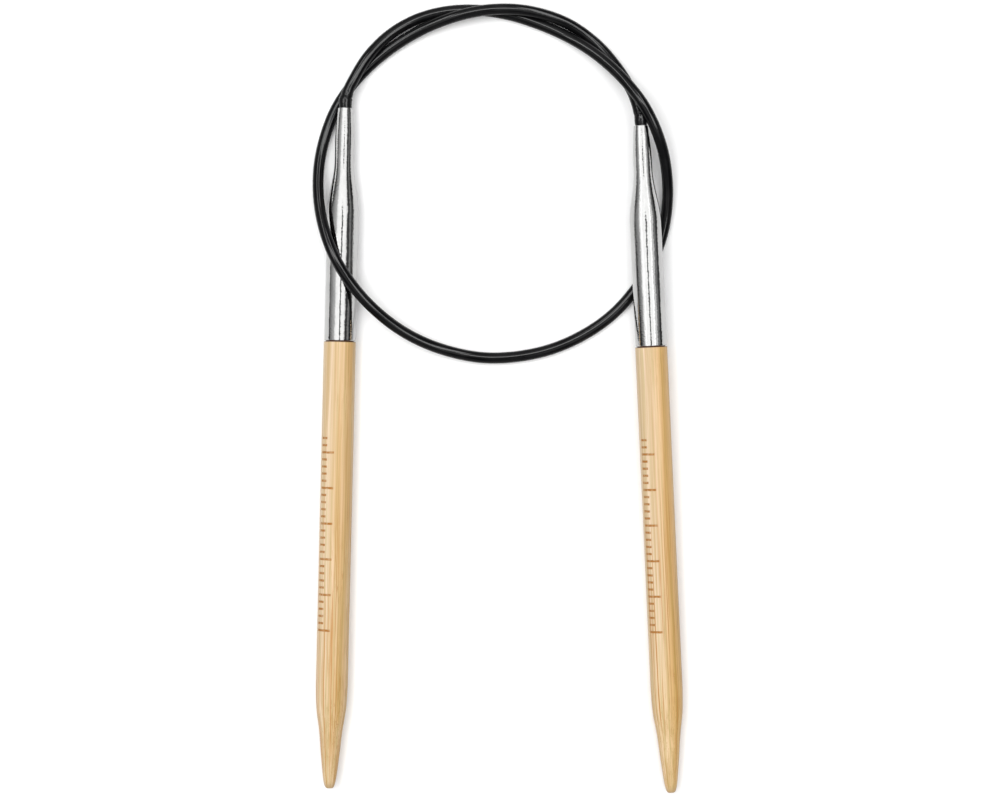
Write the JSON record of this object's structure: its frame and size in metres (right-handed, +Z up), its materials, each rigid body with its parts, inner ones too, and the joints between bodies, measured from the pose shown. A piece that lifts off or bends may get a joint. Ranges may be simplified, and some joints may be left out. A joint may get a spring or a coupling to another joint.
{
  "type": "circular knitting needle",
  "caption": "Circular knitting needle: two short bamboo needles with plated ferrules that turn on the ends of one thin black cord, laid in a loop.",
  "frame": {"origin": "centre of the two needles' footprint, on the surface they lie on", "axes": "+Z up from that surface, +Y from the needle tips towards the cord's loop, +X to the right when looked down on"},
  "size_m": [0.0522, 0.1113, 0.0062],
  "materials": {
    "bamboo": "fine-sanded bamboo, waxed to a satin sheen",
    "plating": "polished bright plating on drawn brass tube",
    "black_nylon": "smooth black nylon, soft sheen",
    "brass": "turned brass"
  },
  "bodies": {
    "cord": {"cord": "black_nylon", "cord_collar_left": "black_nylon", "cord_collar_right": "black_nylon", "end_stop_left": "brass", "end_stop_right": "brass"},
    "left_needle": {"needle_tip_left": "bamboo", "ferrule_left": "plating"},
    "right_needle": {"needle_tip_right": "bamboo", "ferrule_right": "plating"}
  },
  "joints": [
    {"name": "left_swivel", "type": "hinge", "parent": "cord", "child": "left_needle", "pos_m": [-0.02172, 0.04783, 0.00225], "axis": [0.0234, 0.9997, 0], "continuous": true},
    {"name": "right_swivel", "type": "hinge", "parent": "cord", "child": "right_needle", "pos_m": [0.0199, 0.04517, 0.00433], "axis": [-0.0466, 0.9986, 0.0262], "continuous": true}
  ]
}
